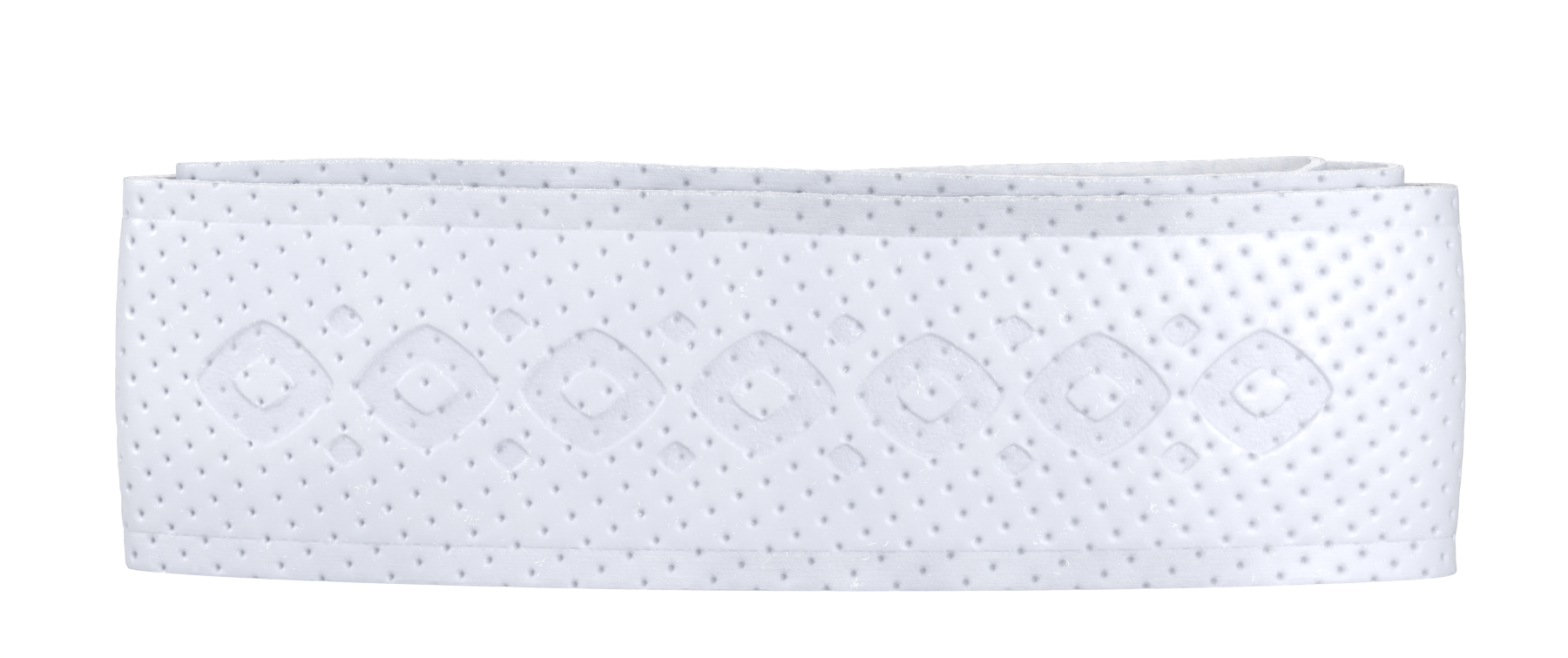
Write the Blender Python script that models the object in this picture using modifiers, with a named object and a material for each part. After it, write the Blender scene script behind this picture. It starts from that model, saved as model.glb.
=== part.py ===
# Roll of perforated replacement grip tape for a racket handle, pressed flat and standing on its cut edge.
# Metres, +Z up. +X runs along the roll, -Y is the front face that the outer wrap shows.
# The strip is followed from its free end on the back, inwards, wrap by wrap.

import math

import bmesh
import bpy
import numpy as np

# The strip and its layers
STRIP_WIDTH = 0.0300
SKIN_THICKNESS = 0.00050
FELT_THICKNESS = 0.00075
ADHESIVE_THICKNESS = 0.00006
LINER_THICKNESS = 0.00006
BOND_GAP = 0.00002  # between layers that are stuck together
FELT_SETBACK = 0.00015  # the felt's cut edge lies this far inside the skin's
ADHESIVE_WIDTH = 0.0120
LINER_OVERHANG = 0.0010  # the liner is wider than the adhesive by this on each side

# The flattened roll, measured on the skin's outer face
ROLL_HALF_LENGTH = 0.0543  # of the ellipse that the two faces follow, before the folds cut it short
ROLL_HALF_DEPTH = 0.01025
ROLL_BOW = 0.00275  # how far the middle of the whole roll bows to the front
WRAP_CLEARANCE = 0.00015  # between one wrap and the next
FOLD_RADIUS_RIGHT = 0.0046
FOLD_RADIUS_LEFT = 0.0033
FOLD_TIGHTENING_RIGHT = 0.50  # share of the fold radius lost from the outside to the middle
FOLD_TIGHTENING_LEFT = 0.32
FOLD_BORE = 0.0005  # least inner radius of a fold
CORE_HALF_LENGTH = 0.0090  # no fold lies nearer to the middle than this
SECOND_WRAP_RISE = 0.0015  # the second wrap is pushed up by this, out of the outer one
CLIMB_START_X = 0.0010  # on the backs of the first two wraps, where the strip climbs
CLIMB_END_X = 0.0400
SINK_START_X = -0.0400  # on the second wrap's front, before its left fold
SINK_END_X = -0.0250  # on its back
CORE_SINK_START_X = 0.0380  # on the third wrap's front, after its right fold
CORE_SINK_END_X = 0.0120

# The outer tail on the back
TAIL_END_X = -0.0270
TIP_HINGE_X = -0.0030
BASE_HINGE_X = 0.0240
HINGE_GAP = 0.00030  # between the two cut faces at a hinge
TAPER_LENGTH = 0.0460
TAPER_END_WIDTH = 0.0090
ADHESIVE_SETBACK = 0.0015  # from the tapered cut to the end of the adhesive strip
STARTER_LENGTH = 0.0140
STARTER_WIDTH = 0.0060
STARTER_SETBACK = 0.0020  # from the strip's end and lower edge

# How finely the path is followed
FACE_STEP = 0.0080
FOLD_STEP = math.radians(20.0)
WINDING_SAMPLE = 0.0004  # radians of winding between the samples of the path
TAIL_WINDING = math.pi / 4  # the path reaches back this far for the tail, from the middle of the back
CROSS_LINE_GAP = 0.0001  # least distance between two cross lines
SHADING_ANGLE = math.radians(40.0)  # sharper edges than this stay crisp
HINGE_MARK = 0.0050

STACK = SKIN_THICKNESS + FELT_THICKNESS + ADHESIVE_THICKNESS + LINER_THICKNESS + 3 * BOND_GAP
WRAP_PITCH = STACK + WRAP_CLEARANCE

SKIN_DEPTH = 0.0  # depth of each layer's outer side below the skin's outer face
FELT_DEPTH = SKIN_DEPTH + SKIN_THICKNESS + BOND_GAP
ADHESIVE_DEPTH = FELT_DEPTH + FELT_THICKNESS + BOND_GAP
LINER_DEPTH = ADHESIVE_DEPTH + ADHESIVE_THICKNESS + BOND_GAP

ADHESIVE_LOW = (STRIP_WIDTH - ADHESIVE_WIDTH) / 2
ADHESIVE_HIGH = ADHESIVE_LOW + ADHESIVE_WIDTH


def layer_depth(winding):
    """Depth of the strip below the outer ellipse after this much winding."""
    return WRAP_PITCH * winding / (2 * math.pi)


def roll_folds():
    """Winding at the middle, side, distance of the centre, reach and half angle of every fold."""
    focus_square = ROLL_HALF_LENGTH**2 - ROLL_HALF_DEPTH**2
    folds = []
    while True:
        winding = math.pi / 2 + math.pi * len(folds)
        side = 1 if len(folds) % 2 == 0 else -1
        depth = layer_depth(winding)
        loose = FOLD_RADIUS_RIGHT if side > 0 else FOLD_RADIUS_LEFT
        tightening = FOLD_TIGHTENING_RIGHT if side > 0 else FOLD_TIGHTENING_LEFT
        radius = max(loose * (1 - tightening * depth / ROLL_HALF_DEPTH), STACK + FOLD_BORE)
        reach = radius + depth
        if reach >= ROLL_HALF_DEPTH:
            return folds
        centre = math.sqrt(focus_square * (1 - (reach / ROLL_HALF_DEPTH) ** 2))
        if centre < CORE_HALF_LENGTH:
            return folds
        cosine = ROLL_HALF_LENGTH * centre / focus_square
        half_angle = math.atan2(
            ROLL_HALF_LENGTH * math.sqrt(1 - cosine**2), ROLL_HALF_DEPTH * cosine
        )
        folds.append((winding, side, centre, reach, half_angle))


def roll_path():
    """The strip's outer face seen from above: arc length, points, outward normals, winding."""
    folds = roll_folds()
    winding = np.arange(-TAIL_WINDING, folds[-1][0] + math.pi / 2, WINDING_SAMPLE)
    normal_angle = math.pi / 2 - winding
    cosine, sine = np.cos(normal_angle), np.sin(normal_angle)
    support = np.hypot(ROLL_HALF_LENGTH * cosine, ROLL_HALF_DEPTH * sine)
    along = ROLL_HALF_LENGTH**2 * cosine / support
    across = ROLL_HALF_DEPTH**2 * sine / support
    for middle, side, centre, reach, half_angle in folds:
        inside = np.abs(winding - middle) < half_angle
        along[inside] = side * centre + reach * cosine[inside]
        across[inside] = reach * sine[inside]
    depth = layer_depth(winding)
    along -= depth * cosine
    across -= depth * sine
    bow_radius = ROLL_HALF_LENGTH**2 / (2 * ROLL_BOW)
    x = (bow_radius - across) * np.sin(along / bow_radius)
    y = bow_radius - ROLL_BOW - (bow_radius - across) * np.cos(along / bow_radius)
    wraps = winding > 0
    x -= (x[wraps].min() + x[wraps].max()) / 2
    y -= (y[wraps].min() + y[wraps].max()) / 2
    dx, dy = np.gradient(x), np.gradient(y)
    step = np.hypot(dx, dy)
    length = np.concatenate([[0.0], np.cumsum(np.hypot(np.diff(x), np.diff(y)))])
    return length, np.stack([x, y], 1), np.stack([-dy, dx], 1) / step[:, None], winding


LENGTH, POINTS, NORMALS, WINDING = roll_path()


def length_at(x, passage):
    """Arc length where the strip passes this x. Passage 0 is the tail, then fronts are odd, backs even."""
    chosen = np.flatnonzero(np.abs(WINDING / math.pi - passage) <= 1 / 2)
    return LENGTH[chosen[np.argmin(np.abs(POINTS[chosen, 0] - x))]]


TAIL_END = length_at(TAIL_END_X, 0)
TIP_HINGE = length_at(TIP_HINGE_X, 0)
BASE_HINGE = length_at(BASE_HINGE_X, 0)
INNER_END = LENGTH[-1]
CLIMBS = [(length_at(CLIMB_START_X, back), length_at(CLIMB_END_X, back)) for back in (2, 4)]
SINKS = [
    (length_at(SINK_START_X, 3), length_at(SINK_END_X, 4)),
    (length_at(CORE_SINK_START_X, 5), length_at(CORE_SINK_END_X, 5)),
]


def at_length(length):
    """Point and outward normal of the skin's outer face at these arc lengths."""
    x, y = (np.interp(length, LENGTH, POINTS[:, axis]) for axis in (0, 1))
    nx, ny = (np.interp(length, LENGTH, NORMALS[:, axis]) for axis in (0, 1))
    size = np.hypot(nx, ny)
    return x, y, nx / size, ny / size


def eased(length, start, end):
    share = np.clip((length - start) / (end - start), 0.0, 1.0)
    return share * share * (3 - 2 * share)


def rise(length):
    """Height of the strip's lower edge: the second wrap stands proud on the front and on the right."""
    climbed = sum(eased(length, *stretch) for stretch in CLIMBS)
    sunk = sum(eased(length, *stretch) for stretch in SINKS)
    return SECOND_WRAP_RISE * (climbed - sunk)


def path_stations():
    """Arc lengths where the strip gets a cross line: close together in the folds, far apart on the faces."""
    turning = np.abs(np.diff(np.unwrap(np.arctan2(NORMALS[:, 1], NORMALS[:, 0]))))
    count = np.concatenate([[0.0], np.cumsum(np.diff(LENGTH) / FACE_STEP + turning / FOLD_STEP)])
    return np.interp(np.arange(1.0, count[-1]), count, LENGTH)


STATIONS = path_stations()


def upper_edge(length):
    """Height of the strip's upper edge above its lower one: the free end is cut to a taper."""
    share = np.clip((length - TAIL_END) / TAPER_LENGTH, 0.0, 1.0)
    return TAPER_END_WIDTH + (STRIP_WIDTH - TAPER_END_WIDTH) * share


def material(name, colour, roughness):
    made = bpy.data.materials.new(name)
    made.use_nodes = True
    shader = made.node_tree.nodes["Principled BSDF"]
    shader.inputs["Base Color"].default_value = (*colour, 1.0)
    shader.inputs["Roughness"].default_value = roughness
    shader.inputs["Metallic"].default_value = 0.0
    made.diffuse_color = (*colour, 1.0)
    return made


def wound_sheet(name, first, last, low, high, depth, thickness, finish, hinge=None):
    """A flat strip of the length first to last, wound along the path at this depth, as a closed solid."""
    lengths = [float(s) for s in STATIONS if first + CROSS_LINE_GAP < s < last - CROSS_LINE_GAP]
    corner = TAIL_END + TAPER_LENGTH
    if first < corner < last:
        lengths = [s for s in lengths if abs(s - corner) > CROSS_LINE_GAP] + [corner]
    lengths = np.array(sorted([first, *lengths, last]))
    x, y, nx, ny = at_length(lengths)
    middle = depth + thickness / 2
    x, y = x - middle * nx, y - middle * ny
    floor = rise(lengths)

    sheet = bmesh.new()
    bmesh.ops.create_grid(sheet, x_segments=len(lengths) - 1, y_segments=1, size=0.5)
    origin = hinge.matrix_world.translation if hinge else (0.0, 0.0, 0.0)
    for vertex in sheet.verts:
        i = round((vertex.co.x + 0.5) * (len(lengths) - 1))
        z = floor[i] + (low(lengths[i]) if vertex.co.y < 0 else high(lengths[i]))
        vertex.co = (x[i] - origin[0], y[i] - origin[1], z - origin[2])
    bmesh.ops.recalc_face_normals(sheet, faces=sheet.faces)
    mesh = bpy.data.meshes.new(name)
    sheet.to_mesh(mesh)
    sheet.free()
    mesh.materials.append(finish)
    piece = bpy.data.objects.new(name, mesh)
    roll.objects.link(piece)
    if hinge:
        piece.parent = hinge
    wall = piece.modifiers.new("wall", "SOLIDIFY")
    wall.thickness = thickness
    wall.offset = 0.0
    wall.use_even_offset = False
    mesh.shade_smooth()
    mesh.set_sharp_from_angle(angle=SHADING_ANGLE)
    return piece


def hinge_empty(name, length, parent=None):
    """An empty on the hinge line, at the skin's outer face, where the tail bends when it is peeled back."""
    x, y, _, _ = at_length(length)
    empty = bpy.data.objects.new(name, None)
    empty.empty_display_size = HINGE_MARK
    roll.objects.link(empty)
    place = np.array([x, y, 0.0])
    if parent:
        empty.parent = parent
        place = place - np.array(parent.matrix_world.translation)
    empty.location = place
    bpy.context.view_layer.update()
    return empty


def strip_piece(prefix, names, first, last, hinge=None):
    """Skin and felt of one stretch of the strip."""
    wound_sheet(
        prefix + names[0], first, last, lambda s: 0.0, upper_edge,
        SKIN_DEPTH, SKIN_THICKNESS, skin_finish, hinge,
    )
    wound_sheet(
        prefix + names[1], first, last, lambda s: FELT_SETBACK, lambda s: upper_edge(s) - FELT_SETBACK,
        FELT_DEPTH, FELT_THICKNESS, felt_finish, hinge,
    )


def band_piece(prefix, names, first, last, hinge=None):
    """Adhesive strip and release liner of one stretch of the strip."""
    wound_sheet(
        prefix + names[0], first, last, lambda s: ADHESIVE_LOW, lambda s: ADHESIVE_HIGH,
        ADHESIVE_DEPTH, ADHESIVE_THICKNESS, adhesive_finish, hinge,
    )
    wound_sheet(
        prefix + names[1], first, last,
        lambda s: ADHESIVE_LOW - LINER_OVERHANG, lambda s: ADHESIVE_HIGH + LINER_OVERHANG,
        LINER_DEPTH, LINER_THICKNESS, liner_finish, hinge,
    )


for old in list(bpy.data.objects):
    bpy.data.objects.remove(old, do_unlink=True)

roll = bpy.data.collections.new("grip_tape_roll")
bpy.context.scene.collection.children.link(roll)

skin_finish = material("perforated_skin", (0.80, 0.81, 0.87), 0.42)
felt_finish = material("felt_backing", (0.82, 0.83, 0.86), 0.95)
adhesive_finish = material("adhesive", (0.72, 0.70, 0.62), 0.30)
liner_finish = material("liner_paper", (0.86, 0.84, 0.76), 0.60)

base_hinge = hinge_empty("tail_base_hinge", BASE_HINGE)
tip_hinge = hinge_empty("tail_tip_hinge", TIP_HINGE, base_hinge)

# The rolled strip, from the base hinge inwards
rolled_start = BASE_HINGE + HINGE_GAP / 2
strip_piece("", ("grip_skin", "felt_backing"), rolled_start, INNER_END)
band_piece("", ("adhesive_strip", "release_liner"), rolled_start, INNER_END)

# The tail between the two hinges
adhesive_end = TAIL_END + TAPER_LENGTH * (ADHESIVE_HIGH + LINER_OVERHANG - TAPER_END_WIDTH) / (
    STRIP_WIDTH - TAPER_END_WIDTH
) + ADHESIVE_SETBACK
base_start, base_end = TIP_HINGE + HINGE_GAP / 2, BASE_HINGE - HINGE_GAP / 2
strip_piece("tail_base_", ("skin", "felt"), base_start, base_end, base_hinge)
band_piece("tail_base_", ("adhesive", "liner"), max(base_start, adhesive_end), base_end, base_hinge)

# The tapered tip and its starter tab
strip_piece("tail_tip_", ("skin", "felt"), TAIL_END, TIP_HINGE - HINGE_GAP / 2, tip_hinge)
starter_start = TAIL_END + STARTER_SETBACK
for name, depth, thickness, finish in (
    ("starter_tab", ADHESIVE_DEPTH, ADHESIVE_THICKNESS, adhesive_finish),
    ("starter_liner", LINER_DEPTH, LINER_THICKNESS, liner_finish),
):
    wound_sheet(
        name, starter_start, starter_start + STARTER_LENGTH,
        lambda s: STARTER_SETBACK, lambda s: STARTER_SETBACK + STARTER_WIDTH,
        depth, thickness, finish, tip_hinge,
    )
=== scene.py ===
import math

import bpy
import numpy as np
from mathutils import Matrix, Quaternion, Vector
from mathutils.geometry import delaunay_2d_cdt


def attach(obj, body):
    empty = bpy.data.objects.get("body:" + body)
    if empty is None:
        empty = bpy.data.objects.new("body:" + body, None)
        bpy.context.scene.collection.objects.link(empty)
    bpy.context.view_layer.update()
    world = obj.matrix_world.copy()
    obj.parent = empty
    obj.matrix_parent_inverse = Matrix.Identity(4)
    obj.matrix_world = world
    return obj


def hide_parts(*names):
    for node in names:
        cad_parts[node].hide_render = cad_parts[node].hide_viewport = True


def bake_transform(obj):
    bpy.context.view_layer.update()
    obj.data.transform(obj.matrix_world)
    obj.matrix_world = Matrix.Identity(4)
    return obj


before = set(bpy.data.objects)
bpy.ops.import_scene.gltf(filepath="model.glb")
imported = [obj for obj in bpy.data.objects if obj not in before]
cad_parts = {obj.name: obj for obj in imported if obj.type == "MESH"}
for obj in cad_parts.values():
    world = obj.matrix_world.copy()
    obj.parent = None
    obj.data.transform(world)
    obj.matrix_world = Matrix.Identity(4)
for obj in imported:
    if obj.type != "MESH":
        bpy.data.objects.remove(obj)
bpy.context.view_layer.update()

mm = 0.001

# the flat strip and its layers, as in the solids
strip = {
    "width": 30 * mm,
    "skin": 0.50 * mm,
    "felt": 0.75 * mm,
    "adhesive": 0.06 * mm,
    "liner": 0.06 * mm,
    "bond": 0.02 * mm,
    "feltSetback": 0.15 * mm,
    "adhesiveWidth": 12 * mm,
    "linerOverhang": 1 * mm,
    "taperLength": 46 * mm,
    "taperEnd": 9 * mm,
}

# how the strip is wound, as in the solids
winding = {
    "halfLength": 54.3 * mm,
    "halfDepth": 10.25 * mm,
    "bow": 2.75 * mm,
    "clearance": 0.15 * mm,
    "foldRight": (4.6 * mm, 0.50),  # radius of the outer fold, share lost towards the middle
    "foldLeft": (3.3 * mm, 0.32),
    "foldBore": 0.5 * mm,
    "coreHalfLength": 9 * mm,
    "tailEnd": -27 * mm,
    "tipHinge": -3 * mm,
    "baseHinge": 24 * mm,
    "step": 0.05 * mm,  # between the samples of the smoothed path
    "smoothing": 1.6 * mm,
}

stack = strip["skin"] + strip["felt"] + strip["adhesive"] + strip["liner"] + 3 * strip["bond"]
pitch = stack + winding["clearance"]
skinDepth = 0.0
feltDepth = strip["skin"] + strip["bond"]
adhesiveDepth = feltDepth + strip["felt"] + strip["bond"]
linerDepth = adhesiveDepth + strip["adhesive"] + strip["bond"]


def rollFolds():
    # winding at the middle, side, centre, reach and half angle of every fold, from the outside in
    halfLength, halfDepth = winding["halfLength"], winding["halfDepth"]
    focusSquare = halfLength**2 - halfDepth**2
    folds = []
    while True:
        middle = math.pi / 2 + math.pi * len(folds)
        side = 1 if len(folds) % 2 == 0 else -1
        depth = pitch * middle / (2 * math.pi)
        loose, tightening = winding["foldRight"] if side > 0 else winding["foldLeft"]
        tight = loose * (1 - tightening * depth / halfDepth)
        reach = max(tight, stack + winding["foldBore"]) + depth
        if reach >= halfDepth:
            return folds
        centre = math.sqrt(focusSquare * (1 - (reach / halfDepth) ** 2))
        if centre < winding["coreHalfLength"]:
            return folds
        cosine = halfLength * centre / focusSquare
        halfAngle = math.atan2(halfLength * math.sqrt(1 - cosine**2), halfDepth * cosine)
        folds.append((middle, side, centre, reach, halfAngle))


def windPath():
    # the strip's outer face seen from above, sampled evenly along its length
    halfLength, halfDepth, bow = winding["halfLength"], winding["halfDepth"], winding["bow"]
    folds = rollFolds()
    turned = np.arange(-math.pi / 4, folds[-1][0] + math.pi / 2, 0.0004)
    cosine, sine = np.cos(math.pi / 2 - turned), np.sin(math.pi / 2 - turned)
    support = np.hypot(halfLength * cosine, halfDepth * sine)
    along = halfLength**2 * cosine / support
    across = halfDepth**2 * sine / support
    for middle, side, centre, reach, halfAngle in folds:
        inside = np.abs(turned - middle) < halfAngle
        along[inside] = side * centre + reach * cosine[inside]
        across[inside] = reach * sine[inside]
    depth = pitch * turned / (2 * math.pi)
    along -= depth * cosine
    across -= depth * sine
    bowRadius = halfLength**2 / (2 * bow)
    x = (bowRadius - across) * np.sin(along / bowRadius)
    y = bowRadius - bow - (bowRadius - across) * np.cos(along / bowRadius)
    wraps = turned > 0
    x -= (x[wraps].min() + x[wraps].max()) / 2
    y -= (y[wraps].min() + y[wraps].max()) / 2
    length = np.concatenate([[0.0], np.cumsum(np.hypot(np.diff(x), np.diff(y)))])
    even = np.arange(0.0, length[-1], winding["step"])
    path = {"s": even, "turned": np.interp(even, length, turned)}
    window = round(winding["smoothing"] / winding["step"])
    for key, values in (("x", x), ("y", y)):
        values = np.interp(even, length, values)
        padded = np.pad(values, window, mode="reflect", reflect_type="odd")
        kernel = np.hanning(2 * window + 1)
        path[key] = np.convolve(padded, kernel / kernel.sum(), mode="valid")
    dx, dy = np.gradient(path["x"]), np.gradient(path["y"])
    path["nx"], path["ny"] = -dy / np.hypot(dx, dy), dx / np.hypot(dx, dy)
    path["folds"] = [even[np.argmin(np.abs(path["turned"] - fold[0]))] for fold in folds]
    return path


path = windPath()


def lengthAt(x, passage):
    # where the strip passes this x; passage 0 is the tail, then fronts are odd and backs even
    chosen = np.flatnonzero(np.abs(path["turned"] / math.pi - passage) <= 0.5)
    return path["s"][chosen[np.argmin(np.abs(path["x"][chosen] - x))]]


tailEnd = lengthAt(winding["tailEnd"], 0)
tipHinge = lengthAt(winding["tipHinge"], 0)
baseHinge = lengthAt(winding["baseHinge"], 0)
frontMiddle = lengthAt(0.0, 1)
backMiddle = lengthAt(0.0, 2)
innerEnd = path["s"][-1]

# how far the strip is pushed up, passage by passage, as (x, height) in millimetres
rises = {
    2: [(0, 0), (6, 0.15), (13, 0.45), (21, 0.7), (29, 0.9), (37, 1.15), (45, 1.25)],
    3: [(46.4, 1.3), (42.5, 1.3), (38, 1.17), (32, 1.08), (26, 1.04), (19, 1.19), (12.6, 1.38),
        (6, 1.65), (-0.5, 1.83), (-7, 1.91), (-14, 2.08), (-23, 2.17), (-31, 2.17), (-35, 2.02),
        (-40, 1.78), (-46, 1.35)],
    4: [(-43, 0.8), (-35, 0.35), (-20, 0.15), (0, 0.15), (6, 0.37), (13, 0.63), (21, 0.9), (29, 1.1),
        (33, 1.3), (37, 1.56), (40, 1.83)],
    5: [(40.5, 1.75), (38, 0.95), (30, 0.8), (20, 0.5), (10, 0.25), (0, 0.1)],
}
# how far its upper edge rises above or stays below a straight cut, in the same way
stretches = {
    0: [(20, 0), (34, -0.45), (47, -0.5), (50.5, -0.3)],
    1: [(50, -0.1), (47, -0.04), (31, -0.18), (10, -0.15), (0, 0.08), (-19, 0.22), (-30, 0.3), (-40, 0.2),
        (-46.5, 0.12), (-50, 0.02)],
    2: [(-50.5, -0.22), (-46, -0.12), (-40, 0), (0, 0)],
}
# how far the lattice of pits strays, in the same way, as (x, along the strip, up it)
drifts = {
    1: [(50, 1.69, 0.05), (47, 1.13, 0.02), (44, 0.49, -0.02), (40, 0.04, -0.06), (35, -0.18, -0.08),
        (20, -0.09, -0.05), (0, 0, 0), (-20, 0.15, -0.08), (-30, 0.48, -0.18), (-35, 0.67, -0.25),
        (-40, 0.75, -0.32), (-44, 0.59, -0.38), (-47, 0.19, -0.42), (-50, -0.37, -0.46)],
    2: [(-40, -0.4, -0.4), (40, -0.3, 1.4)],
    3: [(46, -0.3, 1.05), (40, -0.42, 0.95), (30, -0.53, 0.95), (10, -0.47, 0.67), (-10, -0.2, 0.43),
        (-30, 0.17, 0.3), (-46, 0.39, 0.22)],
}
# how much painted shade darkens the skin, most of all its upper border, in the same way, as (x, share)
paintedShade = {
    0: [(0, 0.4), (46, 0.4)],
    1: [(50.5, 1.2), (50, 1.2), (48.3, 0.9), (47, 0), (40, 0), (33, 0.15), (27, 1.0), (10, 1.1),
        (0, 1.12), (-12, 1.02), (-26, 0.6), (-44, 0.3), (-50, 0)],
    2: [(-44, 0.3), (0, 0.5)],
    3: [(46, 0.3), (30, 0.5), (20, 1.2), (5, 1.6), (-5, 1.1), (-20, 1), (-32, 1.2), (-46, 1.3)],
}
# how much more painted shade darkens its lower half
lowerPaintedShade = {
    1: [(20, 0.1), (8, 0.1), (-2, 0), (-14, 0.05), (-22, 0.45), (-30, 0.8), (-50, 0.6)],
    2: [(-50, 0.3), (-30, 0)],
}
# how wrinkled both borders are
wrinkling = {
    0: [(0, 1)],
    1: [(50, 0.1), (40, 0.3), (31, 0.9), (25, 1), (0, 1), (-20, 0.5), (-35, 0.25), (-50, 0.2)],
    2: [(-44, 0.5), (0, 1)],
    3: [(46, 1), (0, 1.3), (-20, 0.9), (-46, 0.4)],
}
tableSmoothing = 3 * mm


def alongStrip(table, column=0, unit=mm):
    # one column of a table, as values along the whole strip
    knots = []
    for passage, rows in table.items():
        knots += [(lengthAt(x * mm, passage), row[column] * unit) for x, *row in rows]
    values = np.interp(path["s"], *zip(*sorted(knots)))
    window = round(tableSmoothing / winding["step"])
    kernel = np.hanning(2 * window + 1)
    return np.convolve(np.pad(values, window, mode="edge"), kernel / kernel.sum(), mode="valid")


path["rise"] = alongStrip(rises)
path["stretch"] = alongStrip(stretches)
for key, table in (("paintedShadeMask", paintedShade), ("lowPaintedShadeMask", lowerPaintedShade), ("wrinkled", wrinkling)):
    path[key] = alongStrip(table, unit=1)
path["driftAlong"], path["driftUp"] = alongStrip(drifts, 0), alongStrip(drifts, 1)


def smoothStep(low, high, value):
    share = np.clip((value - low) / (high - low), 0.0, 1.0)
    return share * share * (3 - 2 * share)


def upperEdge(s):
    share = np.clip((s - tailEnd) / strip["taperLength"], 0.0, 1.0)
    return strip["taperEnd"] + (strip["width"] - strip["taperEnd"]) * share


shape = {  # small departures of the pressed roll from straight walls
    "bulge": 0.30 * mm,  # of the middle of every wrap, all round
    "bulgeHalf": 12 * mm,
    "flare": 0.16 * mm,  # of both borders
    "flareHeight": 3 * mm,
    "lowerFlare": (0.2, 1.7),  # factor at the left, and what it gains towards the right
    "lowerFlareGain": (-30 * mm, -8 * mm),  # where it gains that
    "upperFlareLoss": (18 * mm, 36 * mm),  # where the upper border loses its flare
    "foldOut": 0.12 * mm,
    "foldIn": 0.30 * mm,
    "foldReach": 6 * mm,
    "edgeWave": 0.05 * mm,
    "edgeWaves": ((1, 118, 0), (0.6, 263, 1.3), (0.3, 611, 0.4)),  # factor, rate along the strip, start
}


def wound(s, z, depth):
    # from the flat strip to the roll: s along it, z up it, depth below its outer face
    keys = ("x", "y", "nx", "ny", "rise", "stretch")
    x, y, nx, ny, rise, stretch = (np.interp(s, path["s"], path[key]) for key in keys)
    share = z / strip["width"]
    fromBorder = np.minimum(z, strip["width"] - z)
    belly = shape["bulge"] * np.maximum(1 - ((z - strip["width"] / 2) / shape["bulgeHalf"]) ** 2, 0)
    least, gain = shape["lowerFlare"]
    lower = least + gain * smoothStep(*shape["lowerFlareGain"], x)
    kept = np.where(share < 0.5, lower, 1 - smoothStep(*shape["upperFlareLoss"], x))
    belly = belly + shape["flare"] * kept * np.clip(1 - fromBorder / shape["flareHeight"], 0, 1) ** 1.5
    rounded = shape["foldOut"] - (shape["foldOut"] + shape["foldIn"]) * (2 * share - 1) ** 2
    fold = sum(np.exp(-(((s - place) / shape["foldReach"]) ** 2)) for place in path["folds"][:2])
    wave = sum(factor * np.sin(s * rate + start) for factor, rate, start in shape["edgeWaves"])
    wave = wave * shape["edgeWave"] * smoothStep(0.5, 1.0, share)
    out = belly + rounded * fold - depth
    return np.stack([x + nx * out, y + ny * out, z + rise + stretch * share + wave], -1)


# the needle pits stand on a slanted lattice that runs through the whole strip
pits = {
    "first": np.array([-3.190, -0.890]) * mm,  # along the strip, up the strip
    "second": np.array([2.057, -1.144]) * mm,
    "anchor": np.array([177.889, 27.486]) * mm,
    "jitter": 0.07 * mm,
    "bowlDepth": 0.11 * mm,
    "bowlRadius": 0.50 * mm,
    "bowlRise": 0.10 * mm,  # of the bowl's middle over the pin hole
    "pinDepth": 0.34 * mm,
    "pinRadius": 0.48 * mm,
    "pinPower": 1.2,
    "deepest": 0.46 * mm,  # below the nominal face, so that the skin's back stays whole
    # inner and outer radius of the painted shade round a pit hole
    "pitShadeRadius": (0.11 * mm, 0.36 * mm),
    "turnSeed": (12.9898, 78.233, 43758.5453),
    "sizeSeed": (39.346, 11.135, 24634.6345),
}
pitBasis = np.stack([pits["first"], pits["second"]], 1)


def drift(s):
    return np.stack([np.interp(s, path["s"], path[key]) for key in ("driftAlong", "driftUp")], -1)


def scattered(i, j, first, second, factor):
    # a value from 0 to 1 that is the same for the same pit
    value = np.sin(i * first + j * second) * factor
    return value - np.floor(value)


def pitPlace(i, j):
    turn = 2 * math.pi * scattered(i, j, *pits["turnSeed"])
    size = pits["jitter"] * scattered(i, j, *pits["sizeSeed"])
    place = pits["anchor"] + np.stack([i, j], -1) @ pitBasis.T
    return place + drift(place[..., 0]) + np.stack([size * np.cos(turn), size * np.sin(turn)], -1)


def pitCentres(sFrom, sTo, zFrom, zTo):
    corners = np.array([[s, z] for s in (sFrom, sTo) for z in (zFrom, zTo)]) - pits["anchor"]
    lattice = corners @ np.linalg.inv(pitBasis).T
    low, high = np.floor(lattice.min(0)) - 3, np.ceil(lattice.max(0)) + 3
    i, j = np.meshgrid(np.arange(low[0], high[0] + 1), np.arange(low[1], high[1] + 1))
    places = pitPlace(i.ravel(), j.ravel())
    kept = (places > (sFrom, zFrom)).all(1) & (places < (sTo, zTo)).all(1)
    return places[kept]


def pitOffset(s, z):
    # from the nearest pit, along the strip and up it
    place = np.stack([s, z], -1)
    lattice = np.round((place - drift(s) - pits["anchor"]) @ np.linalg.inv(pitBasis).T)
    nearest = np.full(place.shape, 1.0)  # a metre away
    for di in (-1, 0, 1):
        for dj in (-1, 0, 1):
            offset = place - pitPlace(lattice[..., 0] + di, lattice[..., 1] + dj)
            closer = np.hypot(offset[..., 0], offset[..., 1]) < np.hypot(nearest[..., 0], nearest[..., 1])
            nearest = np.where(closer[..., None], offset, nearest)
    return nearest


def pitDistance(s, z):
    offset = pitOffset(s, z)
    return np.hypot(offset[..., 0], offset[..., 1])


# a plain row of lozenges is pressed into the strip, once for each long face
ornament = {
    "count": 7,
    "spacing": 12.7 * mm,
    "middleX": -2.2 * mm,  # on the front face
    "middleZ": 14.9 * mm,
    "half": (5.55 * mm, 4.75 * mm),
    "islandHalf": (2.35 * mm, 1.95 * mm),
    "smallHalf": (1.45 * mm, 1.20 * mm),
    "smallRise": 4.9 * mm,
    "roundness": 1.32,
    "depth": 0.25 * mm,
    "wall": 0.09 * mm,
    "reach": 0.4 * mm,  # beyond an outline, where it no longer counts
}


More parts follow.
